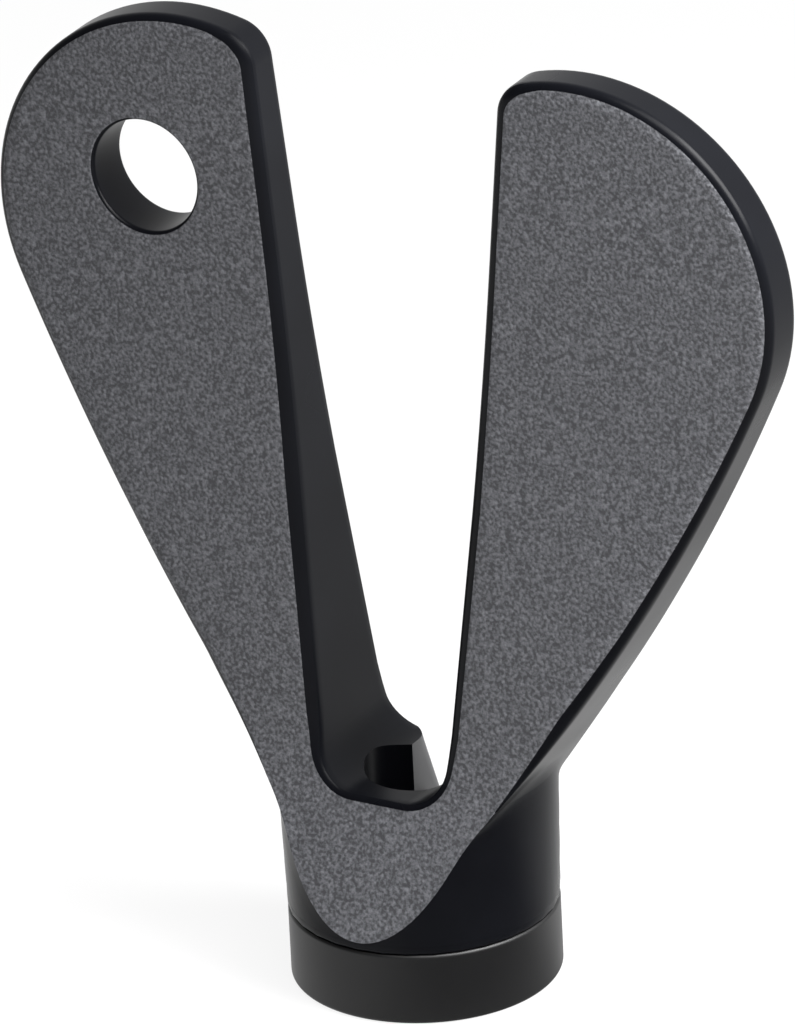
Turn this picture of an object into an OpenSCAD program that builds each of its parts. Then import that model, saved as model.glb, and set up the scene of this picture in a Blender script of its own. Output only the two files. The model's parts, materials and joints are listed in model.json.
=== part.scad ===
// Two-winged spoke wrench: a moulded handle over a steel socket insert.
// Origin: centre of the insert's foot, on the hub axis. +Z runs up the hub, -Y is the front.

/* [Wings] */
// Height of the tool, from its foot to the tops of the wings
tool_h = 51.2; // [46:0.1:58]
// Width across both wings
wing_span = 44.6; // [40:0.2:52]
// Radius of each wing's round shoulder
shoulder_r = 11; // [9.5:0.1:12]
// Radius of the bowed outer edge, from shoulder to hub
outer_edge_r = 120; // [90:1:200]
// Height at which the outer edge meets the side of the hub
junction_z = 12.2; // [11.7:0.1:13.2]
// Radius of the corner between a wing's top and the gap
tip_corner_r = 2; // [1.2:0.1:3]
// Rounding along the edges of the wings
edge_r = 0.5; // [0.3:0.05:0.7]

/* [Wing faces] */
// Thickness at the tops of the wings
tip_t = 2.5; // [2.1:0.1:2.8]
// Thickness at the waist, where the taper starts to grow
waist_t = 3.2; // [2.9:0.1:3.6]
// Height of the waist
waist_z = 34.2; // [30:0.1:38]
// Radius that eases the faces at the waist
waist_r = 190; // [100:5:220]
// Thickness at the neck, where the faces flare into the hub
neck_t = 7.2; // [6.6:0.1:8]
// Height of the neck
neck_z = 12.7; // [11.7:0.1:14.2]
// Radius that eases the faces at the neck
neck_r = 16; // [10:0.5:20]
// Height at which the flared faces run out of the hub
runout_z = 4.4; // [4.1:0.1:5.2]

/* [Gap between the wings] */
// Width of the gap at its floor
gap_w = 7; // [6:0.1:8]
// Lean of each side of the gap, in degrees
gap_lean = 5.25; // [4:0.05:6.5]
// Height of the floor of the gap
floor_z = 11.2; // [10.8:0.1:11.8]
// Radius of the corners at the floor of the gap
gap_corner_r = 2.2; // [1.5:0.1:2.6]

/* [Hub] */
// Diameter of the hub at the seam, and of the insert's flange
hub_d = 14; // [13:0.1:15]
// Draft of the hub's side, in degrees
hub_draft = 1.5; // [0.5:0.1:2]
// Diameter of the bore in the floor of the gap
bore_d = 5.5; // [5:0.1:6]
// Width of the slit through the back of the hub
slit_w = 3.2; // [2.8:0.1:3.6]
// Rounding of the slit's mouth, which leads the spoke in
slit_mouth_r = 1.3; // [0.9:0.1:1.6]
// Bevel on the hub's lower edge
hub_bevel = 0.2; // [0.1:0.05:0.3]

/* [Hang hole] */
// Diameter of the hang hole
hang_d = 6; // [5:0.1:7]
// How far out from the centre of the shoulder the hang hole is
hang_out = 2.2; // [1:0.1:3]
// How far above the centre of the shoulder the hang hole is
hang_up = 2.05; // [0:0.05:3]
// Bevel on the rim of the hang hole
hang_bevel = 0.2; // [0.1:0.05:0.4]

/* [Socket insert] */
// Height of the flange, from the foot to the seam
flange_h = 3.9; // [3.4:0.1:4]
// Rounding of the flange's lower edge
foot_r = 0.25; // [0.15:0.05:0.5]
// Bevel on the flange's upper edge, at the seam
seam_bevel = 0.2; // [0.1:0.05:0.3]
// Diameter of the stem inside the hub
stem_d = 7.6; // [7.2:0.1:8]
// Width across the two flats that key the stem
stem_flats = 6.4; // [6:0.1:6.7]
// Height of the stem above the flange
stem_h = 4.2; // [3.8:0.1:4.6]
// Width of the groove that locks the stem in the moulding
lock_w = 1; // [0.8:0.1:1.4]
// Depth of that groove
lock_depth = 0.4; // [0.3:0.05:0.5]
// Width across the flats of the square socket
socket_w = 3.3; // [3.2:0.05:3.5]
// Depth of the square socket, from the foot
socket_depth = 5.2; // [4:0.1:6]
// Bevel at the socket's mouth
socket_bevel = 0.3; // [0.2:0.05:0.4]
// Diameter of the round way for the spoke, above the socket
spoke_way_d = 3.1; // [2.8:0.1:3.3]
// Width of the slot that lets the spoke in from behind
slot_w = 2.4; // [2.1:0.1:2.6]
// Clearance between the stem and the moulding round it
fit_gap = 0.02; // [0.01:0.01:0.05]

/* [Hidden] */
$fn = 180;
handle_colour = "#3b3c3f";
insert_colour = "#29292a";
// How far cuts run past the faces that they open, and how far up the hub reaches into the wings
overrun = 1;
// How far the cut that rounds an edge runs past the wall and the face
edge_overrun = 0.25;
// Steps along each stretch of a rounded edge, and steps over which the rounding fades in at the hub
edge_steps = 12;
shoulder_steps = 28;
corner_steps = 6;
fade_steps = 5;
fade_share = 0.1;
// Steps along each eased bend of the faces, and tries to find where the edge leaves the hub
ease_steps = 8;
leave_tries = 20;
// Facets of a rounded edge leave the flat faces at this angle, and turn by twice as much from one to the next
facet_turn = 15;

hub_r = hub_d / 2;
stem_top = flange_h + stem_h;
lock_z = flange_h + stem_h / 2;

// Plane geometry
function unit(v) = v / norm(v);
function polar(r, a) = [r * cos(a), r * sin(a)];
function angle_of(v) = atan2(v.y, v.x);
function hub_r_at(z) = hub_r + (z - flange_h) * tan(hub_draft);
// Centre of the arc that rounds a corner between two directions
function fillet_centre(k, da, db, r) = k + unit(da + db) * r / sin(acos(da * db) / 2);
// Stations along an arc: point, outward normal (towards the centre where the arc is hollow), edge radius
function arc_stations(c, r, a, b, n, hollow = false) = [
    for (i = [1 : n])
        let (dir = polar(1, a + (b - a) * i / n)) [c + dir * r, hollow ? -dir : dir, edge_r]
];

// Half the thickness at height z: three straight stretches, eased by two arcs
tip_slope = atan((waist_t - tip_t) / 2 / (tool_h - waist_z));
waist_slope = atan((neck_t - waist_t) / 2 / (waist_z - neck_z));
neck_slope = atan((hub_r - neck_t / 2) / (neck_z - runout_z));
waist = [waist_t / 2, waist_z];
neck = [neck_t / 2, neck_z];
function face_dir(slope) = [-sin(slope), cos(slope)];
waist_run = waist_r * tan((waist_slope - tip_slope) / 2);
neck_run = neck_r * tan((neck_slope - waist_slope) / 2);
waist_centre = fillet_centre(waist, face_dir(tip_slope), -face_dir(waist_slope), waist_r);
neck_centre = fillet_centre(neck, face_dir(waist_slope), -face_dir(neck_slope), neck_r);
waist_high = waist_z + waist_run * cos(tip_slope);
waist_low = waist_z - waist_run * cos(waist_slope);
neck_high = neck_z + neck_run * cos(waist_slope);
neck_low = neck_z - neck_run * cos(neck_slope);
function arc_t(c, r, z) = c.x - sqrt(r ^ 2 - (z - c.y) ^ 2);
function face_t(z) =
    z > waist_high ? waist.x - (z - waist_z) * tan(tip_slope)
    : z > waist_low ? arc_t(waist_centre, waist_r, z)
    : z > neck_high ? waist.x - (z - waist_z) * tan(waist_slope)
    : z > neck_low ? arc_t(neck_centre, neck_r, z)
    : neck.x - (z - neck_z) * tan(neck_slope);

// What lies behind the back face, or in front of the front one: y across, z up
module face_waste() {
    top = tool_h + overrun;
    foot = flange_h - overrun;
    far = hub_d + overrun;
    eased = [
        for (bend = [[neck_low, neck_high], [waist_low, waist_high]], i = [0 : ease_steps])
            let (z = bend[0] + (bend[1] - bend[0]) * i / ease_steps) [face_t(z), z]
    ];
    polygon(concat([[far, foot], [face_t(foot), foot]], eased, [[face_t(top), top], [far, top]]));
}

// Outline of a wing, seen from the front: x across, z up
shoulder = [wing_span / 2 - shoulder_r, tool_h - shoulder_r];
junction = [hub_r_at(junction_z), junction_z];
gap_side = [sin(gap_lean), cos(gap_lean)];
gap_out = [-cos(gap_lean), sin(gap_lean)];
gap_foot = [gap_w / 2, floor_z];
gap_centre = fillet_centre(gap_foot, gap_side, [-1, 0], gap_corner_r);
gap_low = gap_centre - gap_out * gap_corner_r;

// Centre of the outer edge: its arc touches the shoulder from inside and passes the junction
to_junction = unit(junction - shoulder);
junction_gap = norm(junction - shoulder);
edge_gap = outer_edge_r - shoulder_r;
along = (edge_gap ^ 2 - outer_edge_r ^ 2 + junction_gap ^ 2) / (2 * junction_gap);
across = sqrt(edge_gap ^ 2 - along ^ 2);
outer_centre = shoulder + along * to_junction + across * [to_junction.y, -to_junction.x];
edge_angle = angle_of(shoulder - outer_centre);
function edge_x(z) = outer_centre.x + sqrt(outer_edge_r ^ 2 - (z - outer_centre.y) ^ 2);

// Height at which the outer edge leaves the side of the hub at the face, found by halving
function leave_z(low, high, tries) =
    let (mid = (low + high) / 2)
        tries == 0 ? mid
        : edge_x(mid) ^ 2 + face_t(mid) ^ 2 > hub_r_at(mid) ^ 2 ? leave_z(low, mid, tries - 1)
        : leave_z(mid, high, tries - 1);
// The wings' root is well inside the hub
root_z = (flange_h + floor_z) / 2;
leave = leave_z(root_z, junction_z, leave_tries);
leave_angle = angle_of([edge_x(leave), leave] - outer_centre);

// Corner at the top of the gap: its arc touches the gap's side and the shoulder
tip_start = gap_foot - gap_out * tip_corner_r - shoulder;
tip_slide = -tip_start * gap_side
    + sqrt((tip_start * gap_side) ^ 2 - tip_start * tip_start + (shoulder_r - tip_corner_r) ^ 2);
tip_centre = shoulder + tip_start + gap_side * tip_slide;
tip_angle = angle_of(tip_centre - shoulder);
gap_high = tip_centre + gap_out * tip_corner_r;

// Down the gap's side and round the corner onto its floor
gap_edge = concat(
    [for (i = [1 : edge_steps]) [gap_high + (gap_low - gap_high) * i / edge_steps, gap_out, edge_r]],
    arc_stations(gap_centre, gap_corner_r, angle_of(-gap_out), -90, corner_steps, hollow = true)
);
// Start of the gap, above the tips
gap_mouth = [[gap_high + gap_side * 2 * overrun, gap_out, edge_r], [gap_high, gap_out, edge_r]];
// Up the outer edge, where the rounding fades in, over the shoulder and round the tip
wing_rim = concat(
    [
        for (i = [0 : edge_steps])
            let (
                dir = polar(1, leave_angle + (edge_angle - leave_angle) * i / edge_steps),
                fade = fade_share + (1 - fade_share) * min(1, i / fade_steps)
            ) [outer_centre + dir * outer_edge_r, dir, edge_r * fade]
    ],
    arc_stations(shoulder, shoulder_r, edge_angle, tip_angle, shoulder_steps),
    arc_stations(tip_centre, tip_corner_r, tip_angle, angle_of(gap_out), corner_steps)
);
wing_edge = concat(wing_rim, gap_edge);
// The same stations on the other wing, in the other order
function mirrored(half) = [
    for (i = [len(half) - 1 : -1 : 0])
        let (s = half[i]) [[-s[0].x, s[0].y], [-s[1].x, s[1].y], s[2]]
];
function places(stations) = [for (s = stations) s[0]];

// Both wings and the gap between them, filled
module wing_outline() {
    half = concat([[[edge_x(root_z), root_z], [1, 0], edge_r]], wing_rim);
    polygon(places(concat(half, mirrored(half))));
}

module gap() {
    polygon(places(concat(gap_mouth, gap_edge, mirrored(gap_edge), mirrored(gap_mouth))));
}

// Stations halfway between those of an outline, clear of its corners
function between(stations) = [
    for (i = [1 : len(stations) - 1])
        let (a = stations[i - 1], b = stations[i]) [(a[0] + b[0]) / 2, unit(a[1] + b[1]), (a[2] + b[2]) / 2]
];

// Cross-section of what a rounded edge loses: in from the wall, in from the face
function edge_section(r) =
    let (
        past = polar(edge_overrun, facet_turn),
        near = r * (1 - cos(2 * facet_turn)),
        far = r * (1 - sin(2 * facet_turn))
    ) [
        [r + past.x, -past.y],
        [far, near],
        [near, far],
        [-past.y, r + past.x],
        [-edge_overrun, -edge_overrun]
    ];
section_sides = 5;

// Sweeps that section along stations on the back face
module edge_waste(stations) {
    rings = len(stations);
    points = [
        for (p = stations, s = edge_section(p[2]))
            let (q = p[0] - p[1] * s.x) [q.x, face_t(q.y) - s.y, q.y]
    ];
    sides = [
        for (i = [0 : rings - 2], j = [0 : section_sides - 1])
            let (a = i * section_sides, b = a + section_sides, k = (j + 1) % section_sides)
                each [[a + j, b + k, a + k], [a + j, b + j, b + k]]
    ];
    corner = section_sides - 1;
    ends = [
        for (j = [0 : corner - 2])
            let (a = (rings - 1) * section_sides)
                each [[corner, j, j + 1], [a + corner, a + j + 1, a + j]]
    ];
    polyhedron(points, concat(sides, ends));
}

// One side of the slit's mouth, down the back of the hub
slit_low = flange_h - overrun;
slit_high = floor_z + overrun;
slit_edge = [
    for (i = [0 : edge_steps])
        [[slit_w / 2, slit_high + (slit_low - slit_high) * i / edge_steps], [-1, 0], slit_mouth_r]
];

// Hub, with the bevel at the seam
module hub() {
    bevel_top = flange_h + hub_bevel;
    hub_top = junction_z + overrun;
    translate([0, 0, flange_h])
        cylinder(h = hub_bevel, r1 = hub_r - hub_bevel, r2 = hub_r_at(bevel_top));
    translate([0, 0, bevel_top])
        cylinder(h = hub_top - bevel_top, r1 = hub_r_at(bevel_top), r2 = hub_r_at(hub_top));
}

// Stem of the insert, keyed by two flats and locked by a groove, or the pocket that holds it
module stem(grow = 0) {
    low = flange_h - overrun;
    groove_low = lock_z - lock_w / 2 + grow;
    groove_high = lock_z + lock_w / 2 - grow;
    top = stem_top + grow;
    core_d = stem_d - 2 * lock_depth;
    intersection() {
        union() {
            translate([0, 0, low]) cylinder(h = groove_low - low, d = stem_d + 2 * grow);
            translate([0, 0, low]) cylinder(h = top - low, d = core_d + 2 * grow);
            translate([0, 0, groove_high]) cylinder(h = top - groove_high, d = stem_d + 2 * grow);
        }
        translate([-stem_flats / 2 - grow, -stem_d, low])
            cube([stem_flats + 2 * grow, 2 * stem_d, top - low]);
    }
}

// Hang hole through the left wing, with a bevelled rim on both faces
module hang_hole() {
    hang = shoulder + [hang_out, hang_up];
    rim_y = face_t(hang.y);
    rim_h = hang_bevel + overrun;
    translate([-hang.x, 0, hang.y]) {
        rotate([90, 0, 0]) cylinder(h = 2 * (rim_y + overrun), d = hang_d, center = true);
        for (side = [0, 1])
            mirror([0, side, 0])
                translate([0, rim_y - hang_bevel, 0])
                    rotate([-90, 0, 0]) cylinder(h = rim_h, d1 = hang_d, d2 = hang_d + 2 * rim_h);
    }
}

// Bore in the floor of the gap, and the slit that opens it to the back
module spoke_passage() {
    bore_low = stem_top - overrun;
    bore_high = floor_z + gap_corner_r;
    translate([0, 0, bore_low]) cylinder(h = bore_high - bore_low, d = bore_d);
    translate([-slit_w / 2, 0, slit_low]) cube([slit_w, hub_d, slit_high - slit_low]);
    for (side = [0, 1])
        mirror([side, 0, 0]) edge_waste(slit_edge);
}

module handle() {
    color(handle_colour)
        difference() {
            union() {
                hub();
                rotate([90, 0, 0]) linear_extrude(2 * hub_d, center = true) wing_outline();
            }
            rotate([90, 0, 0]) linear_extrude(2 * (hub_d + overrun), center = true) gap();
            for (side = [0, 1])
                mirror([0, side, 0]) {
                    rotate([90, 0, 90]) linear_extrude(wing_span + 2 * overrun, center = true) face_waste();
                    edge_waste(between(concat(wing_edge, mirrored(wing_edge))));
                }
            hang_hole();
            spoke_passage();
            stem(fit_gap);
        }
}

// Flange of the insert: rounded at the foot, bevelled at the seam
module flange() {
    rotate_extrude() {
        polygon([
            [0, 0],
            [hub_r - foot_r, 0],
            [hub_r, foot_r],
            [hub_r, flange_h - seam_bevel],
            [hub_r - seam_bevel, flange_h],
            [0, flange_h]
        ]);
        translate([hub_r - foot_r, foot_r]) circle(foot_r);
    }
}

// Square socket with its bevelled mouth, the spoke's way above it and the slot behind
module socket() {
    mouth_r = socket_w / sqrt(2) + socket_bevel;
    translate([-socket_w / 2, -socket_w / 2, -overrun]) cube([socket_w, socket_w, socket_depth + overrun]);
    translate([0, 0, -overrun]) cylinder(h = mouth_r + overrun, r1 = mouth_r + overrun, r2 = 0);
    translate([0, 0, socket_depth - overrun])
        cylinder(h = stem_top - socket_depth + 2 * overrun, d = spoke_way_d);
    translate([-slot_w / 2, 0, -overrun]) cube([slot_w, hub_d, stem_top + 2 * overrun]);
}

module socket_insert() {
    color(insert_colour)
        difference() {
            union() {
                flange();
                stem();
            }
            socket();
        }
}

handle();
socket_insert();
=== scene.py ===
# %% [markdown]
# # A spoke wrench, dressed for its portrait
# The tool is a black moulding with two flat wings on a round hub, and a steel ring under the hub that grips
# the nipple of a spoke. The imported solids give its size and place. This script models both pieces again with
# rounded edges and a soft blend where the wings leave the hub, then gives each surface its own finish.

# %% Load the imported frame
import json
import math

import bmesh
import bpy
from mathutils import Matrix, Vector


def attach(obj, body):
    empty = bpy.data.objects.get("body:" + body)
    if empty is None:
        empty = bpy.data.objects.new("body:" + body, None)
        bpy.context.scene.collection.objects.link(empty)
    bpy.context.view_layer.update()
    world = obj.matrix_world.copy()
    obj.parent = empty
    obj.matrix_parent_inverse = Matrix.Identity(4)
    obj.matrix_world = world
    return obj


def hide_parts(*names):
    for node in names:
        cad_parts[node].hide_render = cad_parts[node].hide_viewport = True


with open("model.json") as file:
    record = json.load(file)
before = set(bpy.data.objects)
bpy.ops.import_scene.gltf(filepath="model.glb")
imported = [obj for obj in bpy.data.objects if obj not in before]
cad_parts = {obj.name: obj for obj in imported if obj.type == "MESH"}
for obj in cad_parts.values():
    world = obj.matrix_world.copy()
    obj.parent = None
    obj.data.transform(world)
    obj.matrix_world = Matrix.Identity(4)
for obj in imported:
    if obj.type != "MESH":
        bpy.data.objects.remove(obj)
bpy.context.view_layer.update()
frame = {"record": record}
scene = bpy.context.scene
scene.view_settings.view_transform = "Standard"

# %% [markdown]
# ## Sizes
# A maker thinks of a tool this small in millimetres, so every piece is drawn in millimetres and shrunk to
# metres once it is finished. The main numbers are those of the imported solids: the wings' outline, the
# thickness that flares towards the hub, and the hub with its bore and slit.

# %% Sizes in millimetres
MM = 0.001
tool_height, wing_span, shoulder_radius = 51.2, 44.6, 11.0
outer_edge_radius, junction_height, tip_radius = 120.0, 12.2, 2.0
gap_width, gap_lean, floor_height, gap_corner_radius = 7.0, math.radians(5.25), 11.2, 2.2
hub_radius, hub_draft, seam_height = 7.0, math.radians(1.5), 3.9
bore_radius, slit_half, slit_mouth_radius = 2.75, 1.6, 1.3
hang_radius, hang_rim = 3.0, 0.28
edge_radius, hub_edge_radius = 0.5, 0.2
stem_radius, stem_half, stem_top, fit_gap = 3.8, 3.2, 8.1, 0.02
hang_mount = next(m for m in frame["record"]["mounts"] if m["name"] == "hang_hole")
hang_centre = Vector(hang_mount["pos_m"]) / MM
print("tool", tool_height, "x", wing_span, "mm, hang hole at", tuple(round(c, 2) for c in hang_centre))

# %% [markdown]
# ## How thick the wings are
# Seen from the side, the wings taper from the hub to the tips: steep at the hub, gentle in the middle, almost
# parallel at the tips. Three straight stretches eased by two arcs say it all, so one small function gives
# half the thickness at any height, and every face, rim and cut asks it.

# %% Half the thickness at each height
tip_half, waist_half, neck_half = 1.25, 1.6, 3.6
waist_height, neck_height, runout_height = 34.2, 12.7, 4.4
waist_bend, neck_bend = 190.0, 16.0
tip_slope = math.atan((waist_half - tip_half) / (tool_height - waist_height))
waist_slope = math.atan((neck_half - waist_half) / (waist_height - neck_height))
neck_slope = math.atan((hub_radius - neck_half) / (neck_height - runout_height))


def bend(half, height, radius, upper, lower):
    """The arc that eases two stretches: its centre, and the heights where it starts and ends."""
    run = radius * math.tan((lower - upper) / 2)
    top = Vector((half - run * math.sin(upper), height + run * math.cos(upper)))
    low = height - run * math.cos(lower)
    centre = top + radius * Vector((math.cos(upper), math.sin(upper)))
    return centre, low, top.y


waist_centre, waist_low, waist_high = bend(waist_half, waist_height, waist_bend, tip_slope, waist_slope)
neck_centre, neck_low, neck_high = bend(neck_half, neck_height, neck_bend, waist_slope, neck_slope)


def half_thickness(z):
    """Half the thickness of the moulding at height z."""
    if z > waist_high:
        return waist_half - (z - waist_height) * math.tan(tip_slope)
    if z > waist_low:
        return waist_centre.x - math.sqrt(waist_bend**2 - (z - waist_centre.y) ** 2)
    if z > neck_high:
        return waist_half - (z - waist_height) * math.tan(waist_slope)
    if z > neck_low:
        return neck_centre.x - math.sqrt(neck_bend**2 - (z - neck_centre.y) ** 2)
    return neck_half - (z - neck_height) * math.tan(neck_slope)


def hub_at(z):
    """Radius of the hub, which opens a little upwards so that it leaves its mould."""
    return hub_radius + (z - seam_height) * math.tan(hub_draft)


print("bends at", [round(z, 2) for z in (neck_low, neck_high, waist_low, waist_high)])

# %% [markdown]
# ## Drawing with bmesh
# A profile is a row of vertices: a line is one extruded vertex, an arc is a vertex that spins about a centre.
# All profiles are drawn in the XZ plane. The same helpers draw the wing's rim, the turned ring and most of
# the cutters.

# %% Drawing helpers
touching = 1e-5  # Vertices closer than this are one


def line_to(bm, vert, x, z):
    """Extrudes the vertex to a new place and returns the new one."""
    tip = bmesh.ops.extrude_vert_indiv(bm, verts=[vert])["verts"][0]
    tip.co = (x, 0, z)
    return tip


def arc_round(bm, vert, centre, degrees, steps):
    """Spins the vertex about a centre in the XZ plane, anticlockwise as seen from the front."""
    made = bmesh.ops.spin(
        bm,
        geom=[vert],
        cent=(centre.x, 0, centre.y),
        axis=(0, -1, 0),
        angle=math.radians(degrees),
        steps=steps,
    )
    return next(g for g in made["geom_last"] if isinstance(g, bmesh.types.BMVert))


def turned(bm, steps):
    """Spins the drawn profile right round the Z axis, and closes and orients the solid."""
    bmesh.ops.spin(
        bm,
        geom=bm.verts[:] + bm.edges[:],
        cent=(0, 0, 0),
        axis=(0, 0, 1),
        angle=math.tau,
        steps=steps,
        use_merge=True,
    )
    bmesh.ops.remove_doubles(bm, verts=bm.verts[:], dist=touching)
    bmesh.ops.recalc_face_normals(bm, faces=bm.faces[:])


def fill_holes(bm):
    """Closes every open ring of edges with one face."""
    return bmesh.ops.holes_fill(bm, edges=[e for e in bm.edges if e.is_boundary], sides=0)["faces"]


def extruded(bm, edges, step):
    """Extrudes the edges by one step and returns the new ones."""
    made = bmesh.ops.extrude_edge_only(bm, edges=edges)["geom"]
    bmesh.ops.translate(bm, verts=[g for g in made if isinstance(g, bmesh.types.BMVert)], vec=step)
    return [g for g in made if isinstance(g, bmesh.types.BMEdge)]


# %% Helpers for objects
def to_object(bm, name):
    """Hands the bmesh to a new object in the scene."""
    mesh = bpy.data.meshes.new(name)
    bm.to_mesh(mesh)
    bm.free()
    piece = bpy.data.objects.new(name, mesh)
    scene.collection.objects.link(piece)
    return piece


def keep_modifiers(piece):
    """Puts what the modifiers made into the mesh."""
    made = bpy.data.meshes.new_from_object(piece.evaluated_get(bpy.context.evaluated_depsgraph_get()))
    piece.modifiers.clear()
    piece.data = made


def combine(piece, other, operation="DIFFERENCE"):
    """Cuts the other solid from the piece, or joins it on, and removes it."""
    step = piece.modifiers.new("step", "BOOLEAN")
    step.object, step.operation, step.solver = other, operation, "MANIFOLD"
    keep_modifiers(piece)
    bpy.data.objects.remove(other)


def tell(piece):
    """Prints the faces of a piece, and its edges that don't join exactly two: none on a closed solid."""
    bm = bmesh.new()
    bm.from_mesh(piece.data)
    open_edges = sum(1 for e in bm.edges if not e.is_manifold)
    print(piece.name, len(bm.faces), "faces, open edges", open_edges)
    bm.free()


# %% [markdown]
# ## The rim of the moulding
# The moulding could be a flat sheet cut to shape, but its wall isn't straight: on the hub it is round, on the
# wings it is square, and the two flow into each other. So half of the rim is drawn once, from the seam up the
# hub, along the wing's outer edge, over the shoulder, round the tip, and down the gap to its floor. That row
# of vertices is extruded through the thickness, and each vertex is then moved to where the real wall is.

# %% Outline of one wing
shoulder = Vector((wing_span / 2 - shoulder_radius, tool_height - shoulder_radius))
junction = Vector((hub_at(junction_height), junction_height))
gap_up = Vector((math.sin(gap_lean), math.cos(gap_lean)))
gap_out = Vector((-math.cos(gap_lean), math.sin(gap_lean)))
gap_foot = Vector((gap_width / 2, floor_height))
edge_reach = outer_edge_radius - shoulder_radius
to_junction = junction - shoulder
along = (edge_reach**2 - outer_edge_radius**2 + to_junction.length_squared) / (2 * to_junction.length)
to_junction.normalize()
side = Vector((to_junction.y, -to_junction.x))
outer_centre = shoulder + along * to_junction + math.sqrt(edge_reach**2 - along**2) * side
tip_start = gap_foot - gap_out * tip_radius - shoulder
drop = tip_start.dot(gap_up)
slide = -drop + math.sqrt(drop**2 - tip_start.length_squared + (shoulder_radius - tip_radius) ** 2)
tip_centre = shoulder + tip_start + gap_up * slide
corner_rise = gap_corner_radius * math.tan((math.pi / 2 - gap_lean) / 2)
gap_low = gap_foot + gap_up * corner_rise
corner_centre = gap_low + gap_out * gap_corner_radius


def bearing(vector):
    """Angle of a direction in the XZ plane, in degrees."""
    return math.degrees(math.atan2(vector.y, vector.x))


def outer_x(z):
    """Where the wing's outer edge is at height z."""
    return outer_centre.x + math.sqrt(outer_edge_radius**2 - (z - outer_centre.y) ** 2)


def gap_x(z):
    """Half the width of the gap at height z."""
    return gap_width / 2 + (z - floor_height) * math.tan(gap_lean)


print("shoulder", shoulder, "outer edge bends about", outer_centre)

# %% Where the flare leaves the hub
settling_rounds = 20
flare_foot = neck_height + (neck_half - hub_radius) / math.tan(neck_slope)
for _ in range(settling_rounds):
    flare_foot = neck_height + (neck_half - hub_at(flare_foot)) / math.tan(neck_slope)
print("flare starts at", round(flare_foot, 3))

# %% Draw the rim as a row of vertices
seam_steps, edge_steps, shoulder_steps, corner_steps = 4, 56, 48, 12
hub_rows, first_row, last_rise = 11, 0.03, 0.6
rim = bmesh.new()
seam_centre = Vector((hub_radius - hub_edge_radius, seam_height + hub_edge_radius))
point = rim.verts.new((seam_centre.x, 0, seam_height))
point = arc_round(rim, point, seam_centre, 90, seam_steps)
for row in range(hub_rows + 1):
    point = line_to(rim, point, hub_radius, flare_foot + first_row * row**2)
edge_foot = point.co.z + last_rise
edge_start = bearing(Vector((outer_x(edge_foot), edge_foot)) - outer_centre)
edge_end = bearing(shoulder - outer_centre)
tip_bearing = bearing(tip_centre - shoulder)
point = line_to(rim, point, outer_x(edge_foot), edge_foot)
point = arc_round(rim, point, outer_centre, edge_end - edge_start, edge_steps)
point = arc_round(rim, point, shoulder, tip_bearing - edge_end, shoulder_steps)
point = arc_round(rim, point, tip_centre, bearing(gap_out) - tip_bearing, corner_steps)
point = line_to(rim, point, gap_low.x, gap_low.y)
point = arc_round(rim, point, corner_centre, -90 - bearing(-gap_out), corner_steps)
point = line_to(rim, point, 0, floor_height)
print("rim row", len(rim.verts), "vertices")

# %% Add a vertex at each step of the two bends
neck_bands, waist_bands, on_plane = 4, 6, 1e-4


def shared_out(low, high, parts):
    """Heights that share a stretch into equal parts, both ends included."""
    return [low + (high - low) * i / parts for i in range(parts + 1)]


bands = shared_out(neck_low, neck_high, neck_bands) + shared_out(waist_low, waist_high, waist_bands)
for z in bands:
    bmesh.ops.bisect_plane(
        rim, geom=rim.verts[:] + rim.edges[:], dist=on_plane, plane_co=(0, 0, z), plane_no=(0, 0, 1)
    )
print("rim row", len(rim.verts), "vertices with its bands")

# %% [markdown]
# ## From a row to a wall
# On the hub the wall is round, on the wing it is square. Where both are close, a smooth maximum of the two
# gives the soft inside corner that the moulding has under each wing. The edge between wall and face is
# rounded. The rounding grows with the thickness, reaches further down the wall where the outer edge is thick,
# and fades out down the hub, where the flared face runs into the round side. So each place on the rim gets
# three points: where the rounding leaves the wall, the sharp corner it replaces, and where it reaches the
# face.

# %% How deep the rounding is
fade_foot, fade_top, floor_share, gap_reach = 11.0, 17.0, 0.35, 1.8
face_roll, outer_roll, roll_start, roll_full = 1.6, 1.5, 0.6, 4.0
thick_growth, growth_from, roll_from, thick_half = 0.3, 1.4, 1.5, 2.6
hub_border, rim_border, border_start, border_full = 0.8, 0.6, 0.6, 2.4
border_foot, border_top = 10, 22
small_step = 0.01
under_floor = floor_height - small_step


def rise(value, low, high):
    """Goes from 0 to 1 as the value goes from low to high."""
    return min(1, max(0, (value - low) / (high - low)))


def rounding_at(x, z):
    """How deep the rounding is: it grows with thickness, fades on the hub and thins at the gap's floor."""
    growth = 1 + thick_growth * rise(half_thickness(z), growth_from, thick_half)
    fade = rise(z, fade_foot, fade_top)
    if z > under_floor and abs(x) < gap_x(z) + gap_reach:
        fade = floor_share + (1 - floor_share) * fade
    return edge_radius * growth * fade


def wall_roll_at(x, z):
    """How far the rounding reaches down the wall: further where the outer edge is thick."""
    outer = rise(abs(x) - gap_x(z), roll_start, roll_full)
    return 1 + (outer_roll - 1) * outer * rise(half_thickness(z), roll_from, thick_half)


def border_at(x, z):
    """How far along the rounding, from wall to face, the grain of the face ends."""
    outer = rise(abs(x) - gap_x(z), border_start, border_full) * rise(z, border_foot, border_top)
    return hub_border + (rim_border - hub_border) * outer


print("rounding at the shoulder", round(rounding_at(wing_span / 2, shoulder.y), 3), "mm")

# %% Where the wall is
blend, blend_foot, blend_top, wall_side = 0.5, 1.0, 18.0, 1.0


def smooth_max(a, b, soft):
    """The larger of two numbers, rounded where they are closer than soft."""
    near = max(soft - abs(a - b), 0) / soft
    return max(a, b) + near * near * soft / 4


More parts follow.
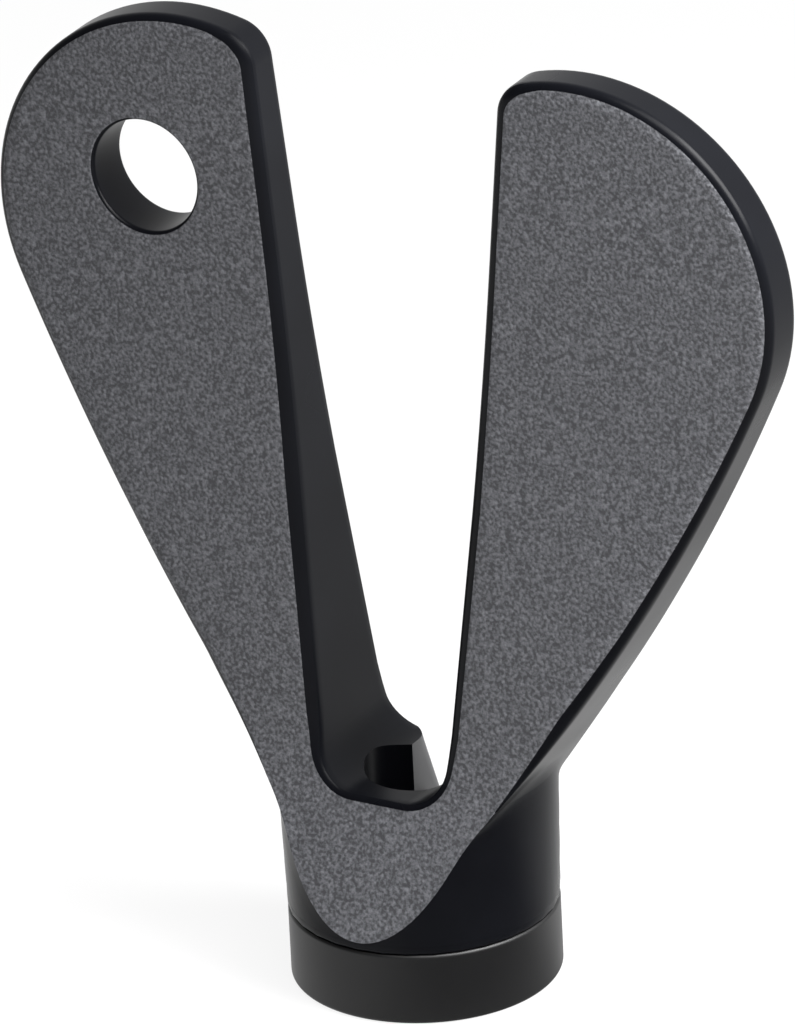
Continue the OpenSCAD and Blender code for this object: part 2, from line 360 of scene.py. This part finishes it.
def wall_place(x, z, share):
    """The wall at a place on the rim, at a share of the way from the middle plane to the back face."""
    hub = x if z < seam_centre.y else hub_at(min(z, junction_height))
    half = half_thickness(z) if z > flare_foot + first_row / 2 else hub
    spread = math.asin(half / hub)
    y = half * math.sin(share * spread) / math.sin(spread)
    outside = z < under_floor or x > gap_x(z) + wall_side
    if outside and z < blend_top:
        round_x = math.sqrt(max(hub * hub - y * y, 0))
        x = smooth_max(outer_x(z), round_x, blend) if z > flare_foot + blend_foot else round_x
    return Vector((x, y, z))


def row_in_order(start):
    """Walks along a row of vertices from one end."""
    order, edge = [start], start.link_edges[0]
    while edge:
        order.append(edge.other_vert(order[-1]))
        edge = next((e for e in order[-1].link_edges if e != edge), None)
    return order


row = [v.co.copy() for v in row_in_order(min(rim.verts, key=lambda v: v.co.z))]
corners = [wall_place(p.x, p.z, 1) for p in row]
print("row of", len(row), "places")


# %% The three points of each rounding
def row_key(x, z):
    """Names a place on the rim by its coordinates, to a thousandth of a millimetre."""
    return round(x, 3), round(z, 3)


roundings = {}
for i, p in enumerate(row):
    radius = rounding_at(p.x, p.z)
    share = 1 - radius * wall_roll_at(p.x, p.z) / half_thickness(p.z)
    along_edge = corners[min(i + 1, len(row) - 1)] - corners[max(i - 1, 0)]
    steepness = (half_thickness(p.z + small_step) - half_thickness(p.z - small_step)) / (2 * small_step)
    inward = along_edge.cross(Vector((0, 1, -steepness))).normalized()
    on_face = corners[i] + inward * radius * face_roll
    on_face.y = half_thickness(on_face.z) if radius else corners[i].y
    points = wall_place(p.x, p.z, share), corners[i], on_face
    roundings[row_key(p.x, p.z)] = share, border_at(p.x, p.z), points
print(len(roundings), "roundings")

# %% Extrude the row into a wall
wall_steps, round_steps, border_step = 16, 6, 4
ends = [1 + i / round_steps for i in range(1, round_steps + 1)]
stations = [-e for e in reversed(ends)] + [2 * i / wall_steps - 1 for i in range(wall_steps + 1)] + ends
row_edges = rim.edges[:]
bmesh.ops.translate(rim, verts=rim.verts[:], vec=(0, stations[0], 0))
for here, there in zip(stations, stations[1:]):
    row_edges = extruded(rim, row_edges, (0, there - here, 0))
print("wall", len(rim.faces), "faces")


# %% Shape the wall and its roundings
def along_rounding(step, border):
    """Spaces the steps so that one of them is at the border of the grain."""
    if step < border_step:
        return border * step / border_step
    return border + (1 - border) * (step - border_step) / (round_steps - border_step)


def weights(t):
    """Shares of wall, corner and face at a place on the rounding, a true arc where the corner is square."""
    parts = (1 - t) ** 2, math.sqrt(2) * t * (1 - t), t**2
    return [part / sum(parts) for part in parts]


for vert in rim.verts:
    x, station, z = vert.co
    share, border, points = roundings[row_key(x, z)]
    if abs(station) < 1:
        spot = wall_place(x, z, abs(station) * share)
    else:
        shares = weights(along_rounding((abs(station) - 1) * round_steps, border))
        spot = sum((point * part for point, part in zip(points, shares)), Vector())
    vert.co = (spot.x, math.copysign(spot.y, station), spot.z)
print("wall from", round(min(v.co.y for v in rim.verts), 2), "to", round(max(v.co.y for v in rim.verts), 2))

# %% Mirror the half, close it and band the faces
rim_touching = 1e-3
half_rim = rim.verts[:] + rim.edges[:] + rim.faces[:]
bmesh.ops.mirror(rim, geom=half_rim, matrix=Matrix(), merge_dist=rim_touching, axis="X")
bmesh.ops.remove_doubles(rim, verts=rim.verts[:], dist=rim_touching)
print("closed with", len(fill_holes(rim)), "faces")
for z in bands:
    flat = [f for f in rim.faces if len(f.verts) > 4]
    parts = set(flat) | {e for f in flat for e in f.edges} | {v for f in flat for v in f.verts}
    bmesh.ops.bisect_plane(
        rim, geom=list(parts), dist=rim_touching, plane_co=(0, 0, z), plane_no=(0, 0, 1)
    )
bmesh.ops.recalc_face_normals(rim, faces=rim.faces[:])
handle = to_object(rim, "wrench_handle")
tell(handle)

# %% [markdown]
# ## Holes in the moulding
# Each hole is cut with its own solid. The hang hole and the slit have a soft lip, so their cutters are drawn
# with the lip and bent to follow the taper of the faces. The bore and the pocket for the insert are plain.

# %% Draw a lip, a plug and flats
lip_turn, lip_steps, plug_sides = 75, 6, 96
overrun = 1  # How far a cutter runs past the surface that it opens


def lip(bm, vert, radius, past):
    """Turns outwards over a lip of that radius, then runs on past the face it opens."""
    centre = Vector((vert.co.x + radius, vert.co.z))
    vert = arc_round(bm, vert, centre, -lip_turn, lip_steps)
    run = math.radians(90 - lip_turn)
    return line_to(bm, vert, vert.co.x + past * math.cos(run), vert.co.z + past * math.sin(run))


def plug(radius, low, high):
    """A plain cylinder on the Z axis."""
    bm = bmesh.new()
    vert = bm.verts.new((0, 0, low))
    vert = line_to(bm, vert, radius, low)
    vert = line_to(bm, vert, radius, high)
    line_to(bm, vert, 0, high)
    turned(bm, plug_sides)
    return bm


def with_flats(bm, half):
    """Cuts the solid flat on both sides, that far from the axis."""
    for turn in (1, -1):
        bmesh.ops.bisect_plane(
            bm,
            geom=bm.verts[:] + bm.edges[:] + bm.faces[:],
            plane_co=(turn * half, 0, 0),
            plane_no=(turn, 0, 0),
            clear_outer=True,
        )
        fill_holes(bm)
    return bm


# %% Cut the hang hole, the bore and the pocket
hang_overrun = 0.6
hang_half = half_thickness(hang_centre.z)
hang = bmesh.new()
vert = hang.verts.new((hang_radius, 0, 0))
vert = line_to(hang, vert, hang_radius, hang_half - hang_rim)
vert = lip(hang, vert, hang_rim, hang_overrun)
line_to(hang, vert, 0, vert.co.z)
bmesh.ops.mirror(
    hang, geom=hang.verts[:] + hang.edges[:], matrix=Matrix(), merge_dist=touching, axis="Z"
)
turned(hang, plug_sides)
bmesh.ops.rotate(hang, verts=hang.verts[:], matrix=Matrix.Rotation(math.pi / 2, 3, "X"))
bmesh.ops.translate(hang, verts=hang.verts[:], vec=hang_centre)
for vert in hang.verts:
    vert.co.y *= half_thickness(vert.co.z) / hang_half
combine(handle, to_object(hang, "hang_cutter"))
bore = plug(bore_radius, stem_top - overrun, floor_height + gap_corner_radius)
combine(handle, to_object(bore, "bore_cutter"))
pocket = plug(stem_radius + fit_gap, seam_height - overrun, stem_top + fit_gap)
combine(handle, to_object(with_flats(pocket, stem_half + fit_gap), "pocket_cutter"))
tell(handle)

# %% [markdown]
# ## The slit
# The spoke comes in from behind. The slit's mouth is drawn once as a flat profile with a wide lip on each
# side. The profile is extruded upwards in steps, and each step moves out or in to the back face at its
# height.

# %% Draw the slit's mouth
slit_deep, slit_outside = -9.0, 2.0
slit = bmesh.new()
vert = slit.verts.new((0, 0, slit_deep))
vert = line_to(slit, vert, slit_half, slit_deep)
vert = line_to(slit, vert, slit_half, -slit_mouth_radius)
vert = lip(slit, vert, slit_mouth_radius, overrun)
vert = line_to(slit, vert, vert.co.x, slit_outside)
line_to(slit, vert, 0, slit_outside)
bmesh.ops.mirror(
    slit, geom=slit.verts[:] + slit.edges[:], matrix=Matrix(), merge_dist=touching, axis="X"
)
bmesh.ops.remove_doubles(slit, verts=slit.verts[:], dist=touching)
bmesh.ops.rotate(slit, verts=slit.verts[:], matrix=Matrix.Rotation(-math.pi / 2, 3, "X"))
print("mouth drawn with", len(slit.verts), "vertices")

# %% Cut the slit
slit_above_floor, slit_steps, slit_end = 1.5, 30, 0.5
slit_low, slit_high = seam_height - overrun, floor_height + slit_above_floor
slit_rise = (slit_high - slit_low) / slit_steps
bmesh.ops.translate(slit, verts=slit.verts[:], vec=(0, 0, slit_low))
ring_edges = slit.edges[:]
for step in range(slit_steps):
    ring_edges = extruded(slit, ring_edges, (0, 0, slit_rise))
for vert in slit.verts:
    vert.co.y = slit_end if vert.co.y < slit_deep / 2 else vert.co.y + half_thickness(vert.co.z)
fill_holes(slit)
bmesh.ops.recalc_face_normals(slit, faces=slit.faces[:])
slit_cutter = to_object(slit, "slit_cutter")
tell(slit_cutter)
combine(handle, slit_cutter)
tell(handle)

# %% [markdown]
# ## The steel insert
# The ring under the seam and the stem inside the hub are one turned piece. The ring's profile is drawn and
# spun, a stem with two flats is joined on, and the square socket with its bevelled mouth, the spoke's way and
# the slot are cut out.

# %% Turn the ring and join the stem
foot_radius, foot_steps, seam_radius, seam_edge_steps, ring_sides = 0.25, 8, 0.2, 5, 160
ring = bmesh.new()
vert = ring.verts.new((0, 0, 0))
vert = line_to(ring, vert, hub_radius - foot_radius, 0)
vert = arc_round(ring, vert, Vector((hub_radius - foot_radius, foot_radius)), 90, foot_steps)
vert = line_to(ring, vert, hub_radius, seam_height - seam_radius)
seam_edge = Vector((hub_radius - seam_radius, seam_height - seam_radius))
vert = arc_round(ring, vert, seam_edge, 90, seam_edge_steps)
line_to(ring, vert, 0, seam_height)
turned(ring, ring_sides)
insert = to_object(ring, "wrench_insert")
stem = with_flats(plug(stem_radius, seam_height - overrun, stem_top), stem_half)
combine(insert, to_object(stem, "stem"), "UNION")
tell(insert)

# %% Cut the socket, the spoke's way and the slot
socket_half, socket_depth, socket_corner = 1.65, 5.2, 0.15
spoke_way, way_overlap = 1.55, 0.5
slot_half, slot_start, slot_corner = 1.2, -0.3, 0.1
box_steps = 4


def box_cutter(name, low, high, corner):
    """A block from corner to corner, with its upright edges rounded."""
    bm = bmesh.new()
    bmesh.ops.create_cube(bm, size=1)
    bmesh.ops.scale(bm, verts=bm.verts[:], vec=Vector(high) - Vector(low))
    bmesh.ops.translate(bm, verts=bm.verts[:], vec=(Vector(low) + Vector(high)) / 2)
    bmesh.ops.bevel(
        bm,
        geom=[e for e in bm.edges if abs(e.verts[0].co.z - e.verts[1].co.z) > touching],
        offset=corner,
        segments=box_steps,
        profile=0.5,
        affect="EDGES",
        material=-1,
        clamp_overlap=True,
    )
    return to_object(bm, name)


square_low = -socket_half, -socket_half, -overrun
square_high = socket_half, socket_half, socket_depth
combine(insert, box_cutter("square", square_low, square_high, socket_corner))
combine(insert, to_object(plug(spoke_way, socket_depth - way_overlap, stem_top + overrun), "way"))
slot_low = -slot_half, slot_start, -overrun
slot_high = slot_half, hub_radius + overrun, stem_top + overrun
combine(insert, box_cutter("slot", slot_low, slot_high, slot_corner))
tell(insert)

# %% Bevel the socket's mouth with a cone
mouth_bevel, mouth_sides = 0.3, 64
mouth_radius = socket_half * math.sqrt(2) + mouth_bevel
mouth = bmesh.new()
vert = mouth.verts.new((0, 0, -overrun))
vert = line_to(mouth, vert, mouth_radius + overrun, -overrun)
line_to(mouth, vert, 0, mouth_radius)
turned(mouth, mouth_sides)
combine(insert, to_object(mouth, "mouth"))
tell(insert)

# %% [markdown]
# ## Into metres, and smooth shading
# Both pieces shrink to metres in place. Wide flat faces next to narrow rounded strips would shade with dull
# gradients, so the normals are weighted by face area, and only true corners stay sharp.

# %% Shrink to metres and shade
corner_angle, wide_face_pull = math.radians(21), 90
for piece in (handle, insert):
    piece.data.transform(Matrix.Scale(MM, 4))
    piece.data.shade_smooth()
    piece.data.set_sharp_from_angle(angle=corner_angle)
    weighted = piece.modifiers.new("weighted", "WEIGHTED_NORMAL")
    weighted.keep_sharp, weighted.weight = True, wide_face_pull
    spans = [max(axis) - min(axis) for axis in zip(*(v.co for v in piece.data.vertices))]
    print(piece.name, [round(span / MM, 2) for span in spans])

# %% [markdown]
# ## Two effects
# The wide faces have the fine grain of a spark-eroded mould, which breaks the light into sparkles. The edges,
# the walls of the gap and the hub are smooth, the walls of the slit are satin with lighter tones that are
# painted light from behind, and the ring is blackened steel. All four finishes share two effects, a fine grain
# and a soft mottle from handling. So each effect is a node group, built once, that takes its own values in
# each material.


# %% Helpers for nodes
def new_group(name, inputs, outputs):
    """An empty shader group with float sockets."""
    group = bpy.data.node_groups.new(name, "ShaderNodeTree")
    for label, value in inputs.items():
        socket = group.interface.new_socket(label, in_out="INPUT", socket_type="NodeSocketFloat")
        socket.default_value = value
    for label in outputs:
        group.interface.new_socket(label, in_out="OUTPUT", socket_type="NodeSocketFloat")
    return group, group.nodes.new("NodeGroupInput"), group.nodes.new("NodeGroupOutput")


def math_node(tree, operation, a, b):
    """A Math node fed by sockets or plain numbers."""
    node = tree.nodes.new("ShaderNodeMath")
    node.operation = operation
    for socket, value in zip(node.inputs, (a, b)):
        if isinstance(value, bpy.types.NodeSocket):
            tree.links.new(value, socket)
        else:
            socket.default_value = value
    return node.outputs[0]


def stretch(tree, value, low, high, to_low=0.0, to_high=1.0):
    """A Map Range node that clamps, fed by sockets or plain numbers."""
    node = tree.nodes.new("ShaderNodeMapRange")
    feeds = {"Value": value, "From Min": low, "From Max": high, "To Min": to_low, "To Max": to_high}
    for label, feed in feeds.items():
        if isinstance(feed, bpy.types.NodeSocket):
            tree.links.new(feed, node.inputs[label])
        else:
            node.inputs[label].default_value = feed
    return node.outputs["Result"]


# %% The grain of the mould
pit_share, peaks_from, peaks_to = 0.35, 0.22, 0.62
grain, taken, given = new_group("mould_grain", {"Per metre": 5500.0, "Detail": 2.0}, ("Height", "Peaks"))
place = grain.nodes.new("ShaderNodeTexCoord")
bumps = grain.nodes.new("ShaderNodeTexNoise")
pits = grain.nodes.new("ShaderNodeTexVoronoi")
for node in (bumps, pits):
    grain.links.new(place.outputs["Object"], node.inputs["Vector"])
    grain.links.new(taken.outputs["Per metre"], node.inputs["Scale"])
grain.links.new(taken.outputs["Detail"], bumps.inputs["Detail"])
pits.feature = "SMOOTH_F1"
pit_depth = math_node(grain, "MULTIPLY", pits.outputs["Distance"], pit_share)
rough_height = math_node(grain, "SUBTRACT", bumps.outputs["Fac"], pit_depth)
grain.links.new(rough_height, given.inputs["Height"])
grain.links.new(stretch(grain, rough_height, peaks_from, peaks_to), given.inputs["Peaks"])
print("group", grain.name, "with", len(grain.nodes), "nodes")

# %% The mottle from handling
cloud_detail, clouds_from, clouds_to = 4.0, 0.3, 0.7
mottle, taken, given = new_group("handling_mottle", {"Per metre": 90.0, "Low": 0.0, "High": 1.0}, ("Value",))
place = mottle.nodes.new("ShaderNodeTexCoord")
clouds = mottle.nodes.new("ShaderNodeTexNoise")
clouds.inputs["Detail"].default_value = cloud_detail
mottle.links.new(place.outputs["Object"], clouds.inputs["Vector"])
mottle.links.new(taken.outputs["Per metre"], clouds.inputs["Scale"])
spread = stretch(
    mottle, clouds.outputs["Fac"], clouds_from, clouds_to, taken.outputs["Low"], taken.outputs["High"]
)
mottle.links.new(spread, given.inputs["Value"])
print("group", mottle.name, "with", len(mottle.nodes), "nodes")

# %% [markdown]
# ## Four finishes
# Each finish goes between two tones. On the grained faces the peaks of the grain are the light tone, which
# makes them look grey. On the others the mottle chooses the tone, and they stay almost black, apart from the
# walls of the slit, whose lighter tones are painted light from behind. The mottle also changes the roughness a
# little, as handling does, and the grain gives a fine bump. The steel of the ring has more sheen than the
# moulding.

# %% How a finish is made
tone_clouds_per_metre = 160.0


def finish(name, dark, light, rough, bump, grain_per_metre, specular, sparkle):
    """A black finish: two tones by grain or by mottle, roughness by mottle, and a fine bump."""
    material = bpy.data.materials.new(name)
    material.use_nodes = True
    tree = material.node_tree
    shader = tree.nodes["Principled BSDF"]
    shader.inputs["Specular IOR Level"].default_value = specular
    texture = tree.nodes.new("ShaderNodeGroup")
    texture.node_tree = grain
    texture.inputs["Per metre"].default_value = grain_per_metre
    handled = tree.nodes.new("ShaderNodeGroup")
    handled.node_tree = mottle
    handled.inputs["Low"].default_value, handled.inputs["High"].default_value = rough
    tones = tree.nodes.new("ShaderNodeMix")
    tones.data_type = "RGBA"
    tones.inputs["A"].default_value, tones.inputs["B"].default_value = (*dark, 1), (*light, 1)
    if sparkle:
        tree.links.new(texture.outputs["Peaks"], tones.inputs["Factor"])
    else:
        clouds = tree.nodes.new("ShaderNodeGroup")
        clouds.node_tree = mottle
        clouds.inputs["Per metre"].default_value = tone_clouds_per_metre
        tree.links.new(clouds.outputs["Value"], tones.inputs["Factor"])
    relief = tree.nodes.new("ShaderNodeBump")
    relief.inputs["Distance"].default_value, relief.inputs["Strength"].default_value = bump
    tree.links.new(texture.outputs["Height"], relief.inputs["Height"])
    tree.links.new(tones.outputs["Result"], shader.inputs["Base Color"])
    tree.links.new(handled.outputs["Value"], shader.inputs["Roughness"])
    tree.links.new(relief.outputs["Normal"], shader.inputs["Normal"])
    print("finish", name, "with", len(tree.nodes), "nodes")
    return material


# %% Make the four finishes
smooth_black = finish(
    "smooth_black_moulding",
    dark=(0.0022, 0.0024, 0.0034),
    light=(0.0034, 0.0037, 0.0050),
    rough=(0.26, 0.34),
    bump=(0.00001, 0.1),
    grain_per_metre=9000,
    specular=0.08,
    sparkle=False,
)
grained_black = finish(
    "grained_black_moulding",
    dark=(0.0445, 0.0450, 0.0490),
    light=(0.131, 0.133, 0.1445),
    rough=(0.42, 0.52),
    bump=(0.00006, 0.9),
    grain_per_metre=5400,
    specular=0.12,
    sparkle=True,
)
# The slit's walls are the black moulding with a satin roughness. Their lighter tones are painted light,
# standing in for the light that falls on them from behind.
slit_satin_painted_light = finish(
    "satin_black_slit_painted_light",
    dark=(0.062, 0.062, 0.064),
    light=(0.076, 0.076, 0.079),
    rough=(0.50, 0.60),
    bump=(0.00001, 0.2),
    grain_per_metre=9000,
    specular=0.3,
    sparkle=False,
)
black_steel = finish(
    "blackened_steel",
    dark=(0.0022, 0.0022, 0.0025),
    light=(0.0032, 0.0032, 0.0036),
    rough=(0.40, 0.50),
    bump=(0.00001, 0.15),
    grain_per_metre=12000,
    specular=0.42,
    sparkle=False,
)

# %% [markdown]
# ## Which face has which finish
# The grain ends part of the way round each rounded edge. Every vertex knows how deep it lies under the wide
# face, so a face is grained where all of its vertices are shallow and it looks forwards or backwards. The
# slit's walls look sideways and lie inside the hub. All the rest is smooth.

# %% Give each face its finish
flat_enough, skin, half_step = 0.02, 0.05, 0.5
facing_out, facing_side, facing_up = 0.85, 0.3, 0.4
grained, satin_painted_light = 1, 2
for piece, materials in ((handle, (smooth_black, grained_black, slit_satin_painted_light)), (insert, (black_steel,))):
    piece.data.materials.clear()
    for material in materials:
        piece.data.materials.append(material)
spots = [v.co / MM for v in handle.data.vertices]
depth = [abs(abs(p.y) - half_thickness(p.z)) for p in spots]
grained_count = 0
for face in handle.data.polygons:
    x, y, z = (c / MM for c in face.center)
    wall_roll = wall_roll_at(x, z)
    past_border = along_rounding(border_step - half_step, border_at(x, z))
    limit = max(flat_enough, rounding_at(x, z) * wall_roll * weights(past_border)[0])
    inner = all(depth[i] < limit for i in face.vertices)
    wide = abs(face.normal.y) * wall_roll > facing_out and z > flare_foot
    in_hub = bore_radius + skin < math.hypot(x, y) < hub_at(z) - skin and z > seam_height + hub_edge_radius
    in_slit = in_hub and y > 0 and abs(x) < slit_half + slit_mouth_radius and z < slit_high
    if inner and wide:
        face.material_index = grained
        grained_count += 1
    # The slit's walls get the finish whose lighter tones are painted light.
    elif in_slit and abs(face.normal.x) > facing_side and abs(face.normal.z) < facing_up:
        face.material_index = satin_painted_light
print("grained faces", grained_count, "of", len(handle.data.polygons))

# %% [markdown]
# ## Join the pieces to the frame
# Nothing on this tool moves, so both pieces ride on the one body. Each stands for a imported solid.

# %% Ride and replace
for piece, node, slot in ((handle, "handle", "moulding"), (insert, "socket_insert", "insert_steel")):
    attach(piece, "root")
    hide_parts(node)
    print(piece.name, "stands for", node)

# %% [markdown]
# ## Camera
# The picture was taken with a long lens from the right and above, with the camera rolled a little. The place
# and the focal length come from fitting the outline of the solids to the outline in the picture.

# %% Camera
look_height, distance = 0.0282, 0.700
azimuth, elevation, roll = math.radians(30.72), math.radians(24.22), math.radians(-2.86)
pan, tilt = -0.000388, -0.002416
focal_pixels, picture_height = 13850.0, 1024


def direction_to(azimuth, elevation):
    """Direction from the tool: azimuth from the front towards the right, elevation upwards."""
    level_part = math.cos(elevation)
    return Vector((math.sin(azimuth) * level_part, -math.cos(azimuth) * level_part, math.sin(elevation)))


back = direction_to(azimuth, elevation)
across = Vector((math.cos(azimuth), math.sin(azimuth), 0))
above = back.cross(across)
look_at = Vector((0, 0, look_height))
eye = look_at + distance * back
forward = (look_at + pan * across + tilt * above - eye).normalized()
level = forward.cross(Vector((0, 0, 1))).normalized()
upright = level.cross(forward)
right = math.cos(roll) * level + math.sin(roll) * upright
up = -math.sin(roll) * level + math.cos(roll) * upright
lens = bpy.data.cameras.new("portrait")
lens.lens = focal_pixels * lens.sensor_width / picture_height
camera = bpy.data.objects.new("portrait", lens)
camera.matrix_world = Matrix.Translation(eye) @ Matrix((right, up, -forward)).transposed().to_4x4()
scene.collection.objects.link(camera)
scene.camera = camera
print("lens", round(lens.lens, 1), "mm")

# %% [markdown]
# ## Floor and light
# A white sweep and two soft lamps on the right, as in a small studio. The floor shows white to the camera and
# keeps a soft shadow. Mirror images show it white too, apart from a painted shade in front on the right, a
# darkening of the floor for mirror images only, which keeps the hub dark there. The world is bright behind the
# tool and dim in front.

# %% Floor
floor_gap, floor_half, paper_tone, camera_glow = 0.00002, 3.0, 0.85, 0.88
# Painted shade: for mirror images only, the floor is darkened near a place in front of the tool on the right.
painted_shade_place, painted_shade_full, painted_shade_end, painted_shade_depth = (0.022, -0.012, 0), 0.015, 0.023, 0.85
floor_mesh = bmesh.new()
bmesh.ops.create_grid(floor_mesh, x_segments=1, y_segments=1, size=floor_half)
bmesh.ops.translate(floor_mesh, verts=floor_mesh.verts[:], vec=(0, 0, -floor_gap))
floor = to_object(floor_mesh, "floor")
paper = bpy.data.materials.new("white_paper")
paper.use_nodes = True
tree = paper.node_tree
tree.nodes.clear()
surface = tree.nodes.new("ShaderNodeOutputMaterial")
matte = tree.nodes.new("ShaderNodeBsdfDiffuse")
matte.inputs["Color"].default_value = (paper_tone, paper_tone, paper_tone, 1)
glow = tree.nodes.new("ShaderNodeEmission")
mixed = tree.nodes.new("ShaderNodeMixShader")
rays = tree.nodes.new("ShaderNodeLightPath")
from_painted_shade = tree.nodes.new("ShaderNodeVectorMath")
from_painted_shade.operation = "DISTANCE"
from_painted_shade.inputs[1].default_value = painted_shade_place
tree.links.new(tree.nodes.new("ShaderNodeTexCoord").outputs["Object"], from_painted_shade.inputs[0])
painted_shade = stretch(tree, from_painted_shade.outputs["Value"], painted_shade_full, painted_shade_end, painted_shade_depth, 0.0)
painted_shade = math_node(tree, "MULTIPLY", rays.outputs["Is Glossy Ray"], painted_shade)
tree.links.new(math_node(tree, "SUBTRACT", 1.0, painted_shade), glow.inputs["Color"])
seen = math_node(tree, "MAXIMUM", rays.outputs["Is Camera Ray"], rays.outputs["Is Transmission Ray"])
seen = math_node(tree, "MULTIPLY", seen, camera_glow)
tree.links.new(math_node(tree, "MAXIMUM", seen, rays.outputs["Is Glossy Ray"]), mixed.inputs[0])
tree.links.new(matte.outputs[0], mixed.inputs[1])
tree.links.new(glow.outputs[0], mixed.inputs[2])
tree.links.new(mixed.outputs[0], surface.inputs[0])
floor.data.materials.append(paper)
print("floor", round(floor_gap / MM, 3), "mm under the ring")

# %% World
front, rear, front_tone = -0.1, 0.6, 0.12
world = bpy.data.worlds.new("studio")
scene.world = world
world.use_nodes = True
tree = world.node_tree
tree.nodes.clear()
sky = tree.nodes.new("ShaderNodeBackground")
direction = tree.nodes.new("ShaderNodeSeparateXYZ")
tree.links.new(tree.nodes.new("ShaderNodeTexCoord").outputs["Generated"], direction.inputs[0])
tree.links.new(stretch(tree, direction.outputs["Y"], front, rear, front_tone, 1.0), sky.inputs["Color"])
tree.links.new(sky.outputs[0], tree.nodes.new("ShaderNodeOutputWorld").inputs[0])
print("world", world.name, "from", front_tone, "in front to 1 behind")


# %% Lamps
def softbox(name, azimuth, elevation, reach, size, power):
    """A soft square lamp that faces the middle of the tool, from angles in degrees."""
    toward = direction_to(math.radians(azimuth), math.radians(elevation))
    lamp = bpy.data.lights.new(name, "AREA")
    lamp.shape, lamp.size, lamp.size_y, lamp.energy = "RECTANGLE", size, size, power
    holder = bpy.data.objects.new(name, lamp)
    turn = toward.to_track_quat("Z", "Y").to_matrix().to_4x4()
    holder.matrix_world = Matrix.Translation(look_at + toward * reach) @ turn
    scene.collection.objects.link(holder)
    print("lamp", name, "at", [round(c, 3) for c in holder.matrix_world.translation], "with", power, "W")


softbox("key", azimuth=92, elevation=45, reach=0.12, size=0.08, power=0.48)
softbox("high", azimuth=64, elevation=62, reach=0.14, size=0.1, power=0.24)
